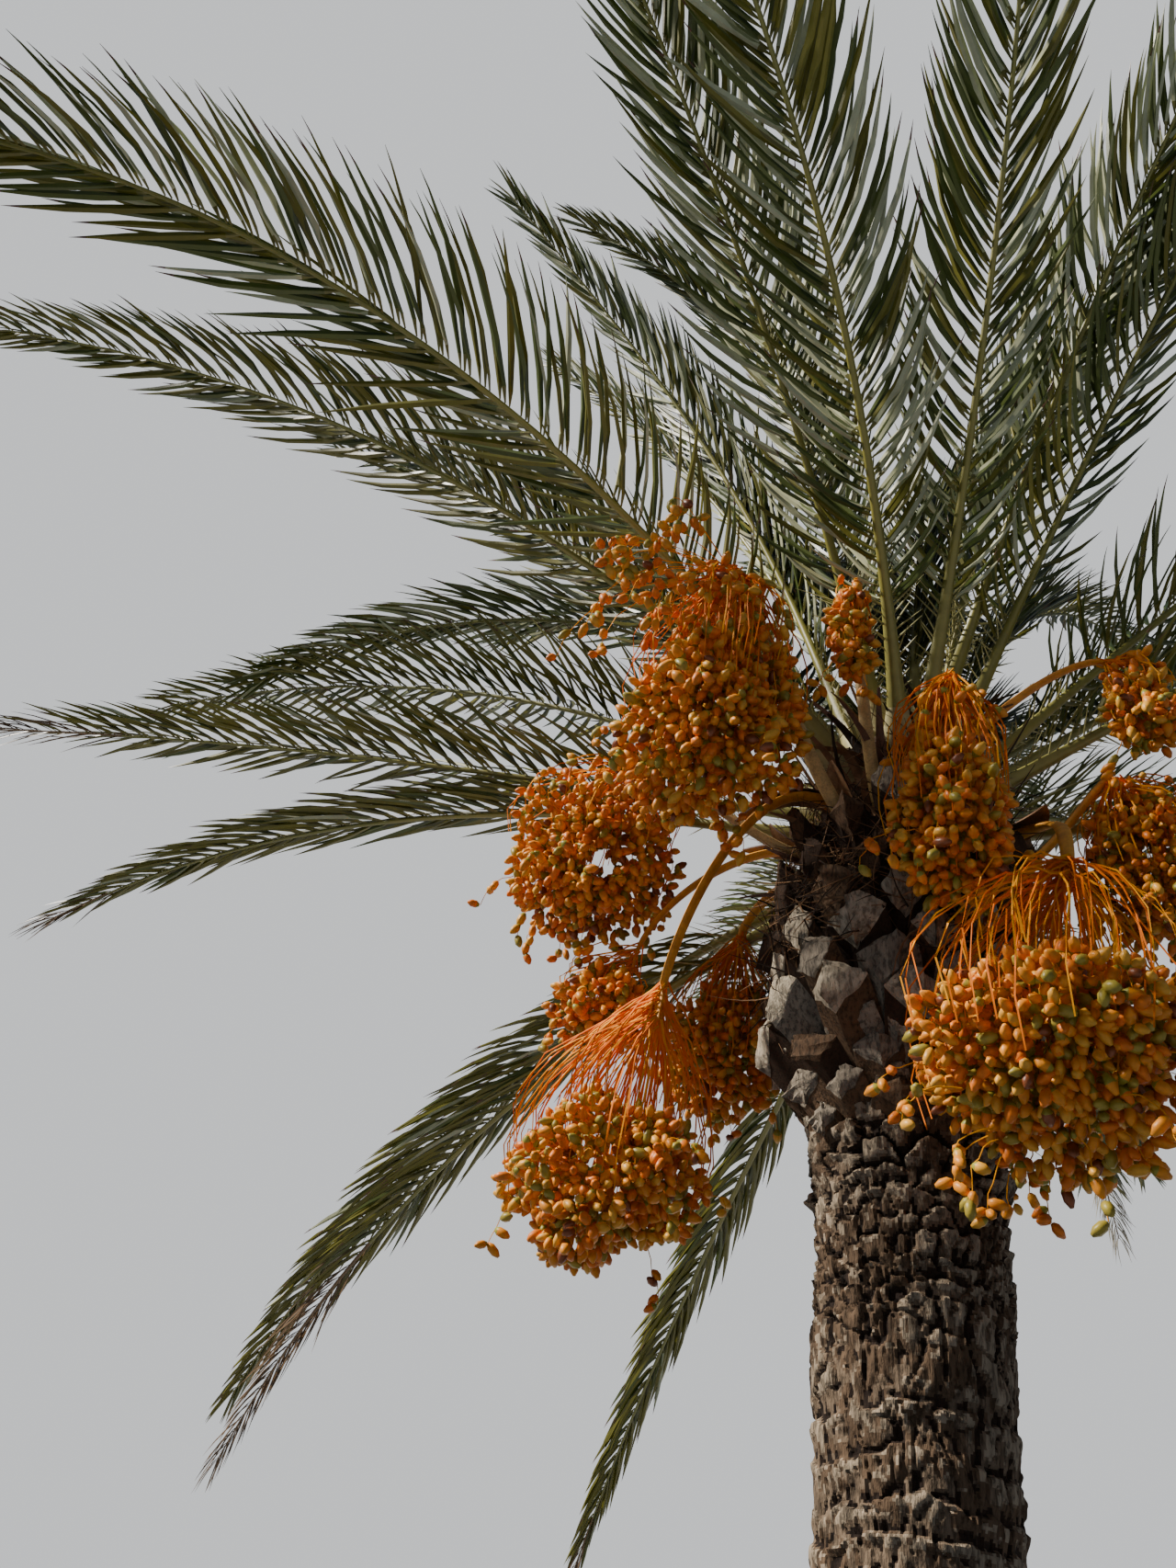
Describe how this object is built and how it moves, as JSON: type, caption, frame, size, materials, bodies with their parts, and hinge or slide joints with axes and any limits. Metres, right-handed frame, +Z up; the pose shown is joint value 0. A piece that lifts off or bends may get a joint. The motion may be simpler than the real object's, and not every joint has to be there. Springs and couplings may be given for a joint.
{
  "type": "date palm tree",
  "caption": "Date palm tree: a slightly leaning ringed trunk with cut leaf bases, an arching crown of feather-shaped fronds and hanging bunches of orange fruit.",
  "frame": {"origin": "centre of the flat cut under the trunk, at ground level, which is the mount ground", "axes": "+Z up, along the tree's height; +X is the side that the trunk leans to; -Y is the side that the picture was taken from"},
  "size_m": [7.0838, 6.5033, 7.3124],
  "materials": {
    "bark": "rough, fissured, weathered",
    "leaf": "waxy olive green leaflets",
    "fruit": "smooth amber and orange fruit"
  },
  "bodies": {
    "root": {"trunk": "bark", "fruit_bunch_01": "fruit", "fruit_bunch_02": "fruit", "fruit_bunch_03": "fruit", "fruit_bunch_04": "fruit", "fruit_bunch_05": "fruit", "fruit_bunch_06": "fruit", "fruit_bunch_07": "fruit", "fruit_bunch_08": "fruit", "fruit_bunch_09": "fruit", "fruit_bunch_10": "fruit", "fruit_bunch_11": "fruit", "fruit_bunch_12": "fruit", "fruit_bunch_13": "fruit", "frond_01": "leaf", "frond_02": "leaf", "frond_03": "leaf", "frond_04": "leaf", "frond_05": "leaf", "frond_06": "leaf", "frond_07": "leaf", "frond_08": "leaf", "frond_09": "leaf", "frond_10": "leaf", "frond_11": "leaf", "frond_12": "leaf", "frond_13": "leaf", "frond_14": "leaf", "frond_15": "leaf", "frond_16": "leaf", "frond_17": "leaf", "frond_18": "leaf", "frond_19": "leaf", "frond_20": "leaf", "frond_21": "leaf", "frond_22": "leaf", "frond_23": "leaf", "frond_24": "leaf", "frond_25": "leaf", "frond_26": "leaf", "frond_27": "leaf", "frond_28": "leaf", "frond_29": "leaf", "frond_30": "leaf", "frond_31": "leaf", "frond_32": "leaf", "frond_33": "leaf", "frond_34": "leaf", "frond_35": "leaf", "frond_36": "leaf"}
  },
  "joints": []
}
